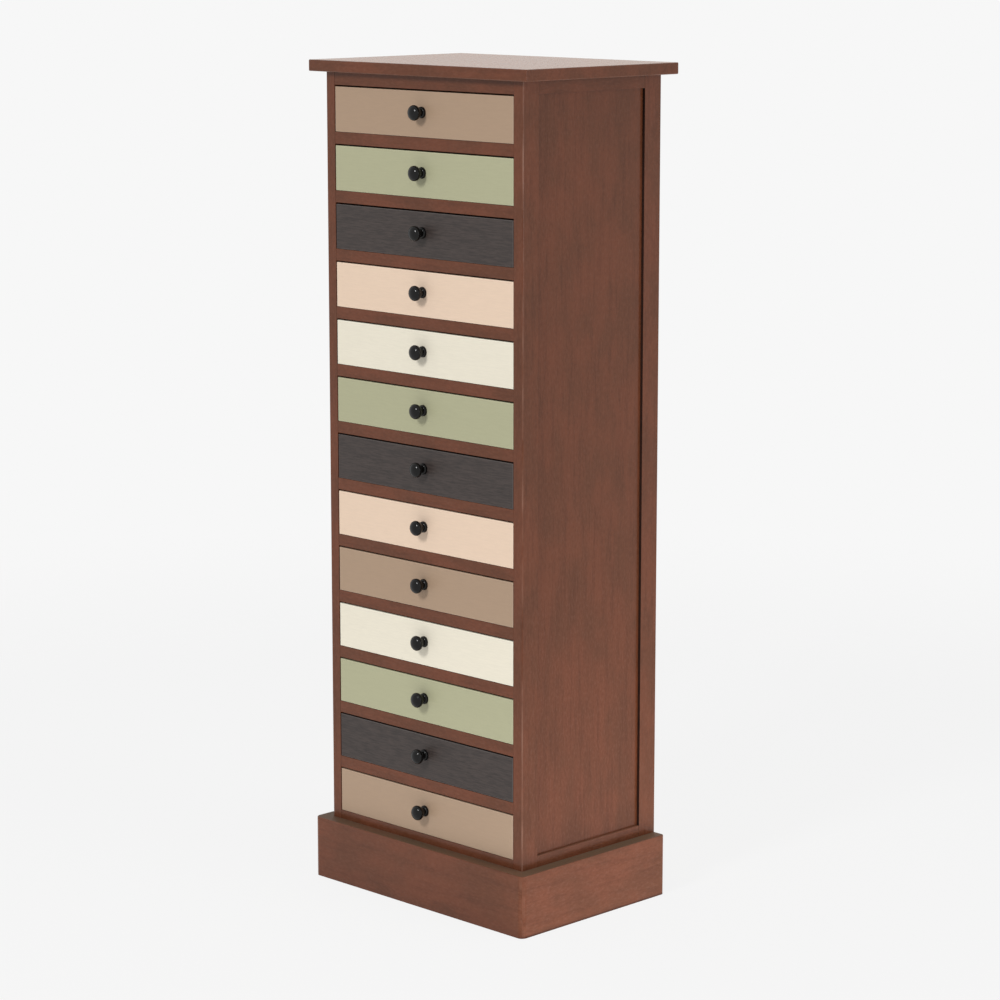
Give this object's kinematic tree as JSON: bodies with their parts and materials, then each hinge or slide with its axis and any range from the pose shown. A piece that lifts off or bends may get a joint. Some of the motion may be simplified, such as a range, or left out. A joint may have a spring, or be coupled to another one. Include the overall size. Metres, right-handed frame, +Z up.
{
  "type": "drawer unit",
  "caption": "Tall narrow wooden chest with one column of shallow sliding drawers, painted fronts, round knobs, panelled sides, an overhanging top and a plinth.",
  "frame": {"origin": "on the floor, in the middle of the whole object's width and depth", "axes": "+Z up, the drawers open towards -Y, +X to the right when facing the drawers"},
  "size_m": [0.4, 0.286, 1.11],
  "materials": {
    "stained_frame": "red-brown stain under satin varnish",
    "plain_wood": "bare planed softwood",
    "plywood": "bare thin plywood",
    "taupe_paint": "taupe satin paint over wood",
    "sage_paint": "sage green satin paint over wood",
    "charcoal_paint": "charcoal satin paint over wood",
    "peach_paint": "peach satin paint over wood",
    "cream_paint": "cream satin paint over wood",
    "knob_black": "gloss black, with a steel screw behind it",
    "screw_steel": "zinc-plated steel"
  },
  "bodies": {
    "carcass": {"top_board": "stained_frame", "front_top_rail": "stained_frame", "drawer_rails": "stained_frame", "front_bottom_rail": "stained_frame", "plinth_front": "stained_frame", "plinth_left": "stained_frame", "plinth_right": "stained_frame", "left_front_stile": "stained_frame", "right_front_stile": "stained_frame", "left_back_stile": "stained_frame", "right_back_stile": "stained_frame", "left_side_rails": "stained_frame", "right_side_rails": "stained_frame", "left_side_panel": "stained_frame", "right_side_panel": "stained_frame", "back_rails": "plain_wood", "left_runners": "plain_wood", "right_runners": "plain_wood", "back_panel": "plywood", "bottom_panel": "plywood", "top_screws": "screw_steel"},
    "drawer_01": {"drawer_front_01": "taupe_paint", "drawer_box_01": "plain_wood", "knob_01": "knob_black"},
    "drawer_02": {"drawer_front_02": "sage_paint", "drawer_box_02": "plain_wood", "knob_02": "knob_black"},
    "drawer_03": {"drawer_front_03": "charcoal_paint", "drawer_box_03": "plain_wood", "knob_03": "knob_black"},
    "drawer_04": {"drawer_front_04": "peach_paint", "drawer_box_04": "plain_wood", "knob_04": "knob_black"},
    "drawer_05": {"drawer_front_05": "cream_paint", "drawer_box_05": "plain_wood", "knob_05": "knob_black"},
    "drawer_06": {"drawer_front_06": "sage_paint", "drawer_box_06": "plain_wood", "knob_06": "knob_black"},
    "drawer_07": {"drawer_front_07": "charcoal_paint", "drawer_box_07": "plain_wood", "knob_07": "knob_black"},
    "drawer_08": {"drawer_front_08": "peach_paint", "drawer_box_08": "plain_wood", "knob_08": "knob_black"},
    "drawer_09": {"drawer_front_09": "taupe_paint", "drawer_box_09": "plain_wood", "knob_09": "knob_black"},
    "drawer_10": {"drawer_front_10": "cream_paint", "drawer_box_10": "plain_wood", "knob_10": "knob_black"},
    "drawer_11": {"drawer_front_11": "sage_paint", "drawer_box_11": "plain_wood", "knob_11": "knob_black"},
    "drawer_12": {"drawer_front_12": "charcoal_paint", "drawer_box_12": "plain_wood", "knob_12": "knob_black"},
    "drawer_13": {"drawer_front_13": "taupe_paint", "drawer_box_13": "plain_wood", "knob_13": "knob_black"}
  },
  "joints": [
    {"name": "drawer_01_slide", "type": "slide", "parent": "carcass", "child": "drawer_01", "axis": [0, -1, 0], "range_m": [0, 0.18]},
    {"name": "drawer_02_slide", "type": "slide", "parent": "carcass", "child": "drawer_02", "axis": [0, -1, 0], "range_m": [0, 0.18]},
    {"name": "drawer_03_slide", "type": "slide", "parent": "carcass", "child": "drawer_03", "axis": [0, -1, 0], "range_m": [0, 0.18]},
    {"name": "drawer_04_slide", "type": "slide", "parent": "carcass", "child": "drawer_04", "axis": [0, -1, 0], "range_m": [0, 0.18]},
    {"name": "drawer_05_slide", "type": "slide", "parent": "carcass", "child": "drawer_05", "axis": [0, -1, 0], "range_m": [0, 0.18]},
    {"name": "drawer_06_slide", "type": "slide", "parent": "carcass", "child": "drawer_06", "axis": [0, -1, 0], "range_m": [0, 0.18]},
    {"name": "drawer_07_slide", "type": "slide", "parent": "carcass", "child": "drawer_07", "axis": [0, -1, 0], "range_m": [0, 0.18]},
    {"name": "drawer_08_slide", "type": "slide", "parent": "carcass", "child": "drawer_08", "axis": [0, -1, 0], "range_m": [0, 0.18]},
    {"name": "drawer_09_slide", "type": "slide", "parent": "carcass", "child": "drawer_09", "axis": [0, -1, 0], "range_m": [0, 0.18]},
    {"name": "drawer_10_slide", "type": "slide", "parent": "carcass", "child": "drawer_10", "axis": [0, -1, 0], "range_m": [0, 0.18]},
    {"name": "drawer_11_slide", "type": "slide", "parent": "carcass", "child": "drawer_11", "axis": [0, -1, 0], "range_m": [0, 0.18]},
    {"name": "drawer_12_slide", "type": "slide", "parent": "carcass", "child": "drawer_12", "axis": [0, -1, 0], "range_m": [0, 0.18]},
    {"name": "drawer_13_slide", "type": "slide", "parent": "carcass", "child": "drawer_13", "axis": [0, -1, 0], "range_m": [0, 0.18]}
  ]
}
